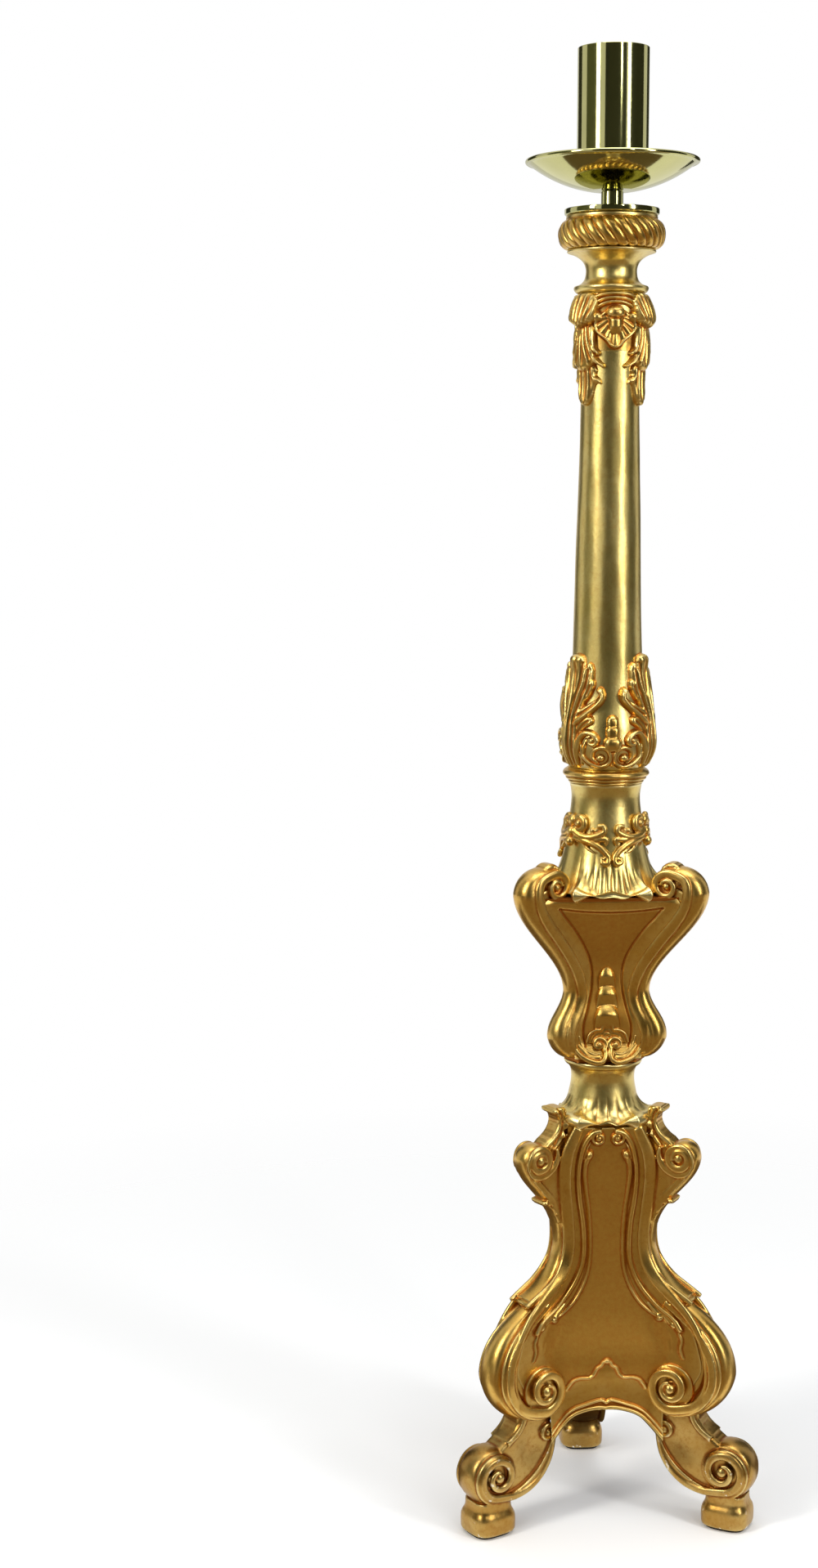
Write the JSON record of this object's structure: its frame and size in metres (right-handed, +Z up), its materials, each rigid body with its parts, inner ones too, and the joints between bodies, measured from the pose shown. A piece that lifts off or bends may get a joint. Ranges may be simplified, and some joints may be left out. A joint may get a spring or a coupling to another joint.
{
  "type": "torchere candle stand",
  "caption": "Tall three-sided carved giltwood torchere candle stand on scroll feet, with a brass drip pan and an open candle cup that unscrews.",
  "frame": {"origin": "on the floor, under the middle of the stand's outline seen from above", "axes": "+Z up along the stand, -Y towards the viewer of the panelled front face, +X to the viewer's right"},
  "size_m": [0.2514, 0.2211, 1.2],
  "materials": {
    "gilded_wood": "water-gilded, satin to burnished",
    "matte_gilding": "matte gilding",
    "polished_brass": "polished",
    "steel": "plain",
    "felt": "matte felt"
  },
  "bodies": {
    "stand": {"scroll_foot_1": "gilded_wood", "scroll_foot_2": "gilded_wood", "scroll_foot_3": "gilded_wood", "base_core": "gilded_wood", "corner_scroll_1": "gilded_wood", "corner_scroll_2": "gilded_wood", "corner_scroll_3": "gilded_wood", "lower_neck": "gilded_wood", "vase_core": "gilded_wood", "vase_scroll_1": "gilded_wood", "vase_scroll_2": "gilded_wood", "vase_scroll_3": "gilded_wood", "vase_husk_1": "gilded_wood", "vase_husk_2": "gilded_wood", "vase_husk_3": "gilded_wood", "middle_neck": "gilded_wood", "neck_scroll_1": "gilded_wood", "neck_scroll_2": "gilded_wood", "neck_scroll_3": "gilded_wood", "bead_ring": "gilded_wood", "column_shaft": "gilded_wood", "lower_leaf_1": "gilded_wood", "lower_leaf_2": "gilded_wood", "lower_leaf_3": "gilded_wood", "lower_husk_1": "gilded_wood", "lower_husk_2": "gilded_wood", "lower_husk_3": "gilded_wood", "upper_leaf_1": "gilded_wood", "upper_leaf_2": "gilded_wood", "upper_leaf_3": "gilded_wood", "shell_drop_1": "gilded_wood", "shell_drop_2": "gilded_wood", "shell_drop_3": "gilded_wood", "column_collar": "gilded_wood", "rope_ring": "gilded_wood", "base_panel_1": "matte_gilding", "base_panel_2": "matte_gilding", "base_panel_3": "matte_gilding", "vase_panel_1": "matte_gilding", "vase_panel_2": "matte_gilding", "vase_panel_3": "matte_gilding", "brass_plate": "polished_brass", "brass_stem": "polished_brass", "drip_pan": "polished_brass", "tie_rod": "steel", "rod_washer": "steel", "rod_nut": "steel", "foot_felt_1": "felt", "foot_felt_2": "felt", "foot_felt_3": "felt"},
    "cup_rise": {"cup_washer": "polished_brass"},
    "cup": {"candle_cup": "polished_brass", "cup_plug": "polished_brass"}
  },
  "joints": [
    {"name": "cup_lift", "type": "slide", "parent": "stand", "child": "cup_rise", "axis": [0, 0, 1], "range_m": [0, 0.009]},
    {"name": "cup_turn", "type": "hinge", "parent": "cup_rise", "child": "cup", "pos_m": [0, -0.02958, 1.1], "axis": [0, 0, 1], "range_deg": [0, 2160]}
  ],
  "couplings": [
    {"joint": "cup_lift", "follows": "cup_turn", "m_per_rad": 0.00023873}
  ]
}
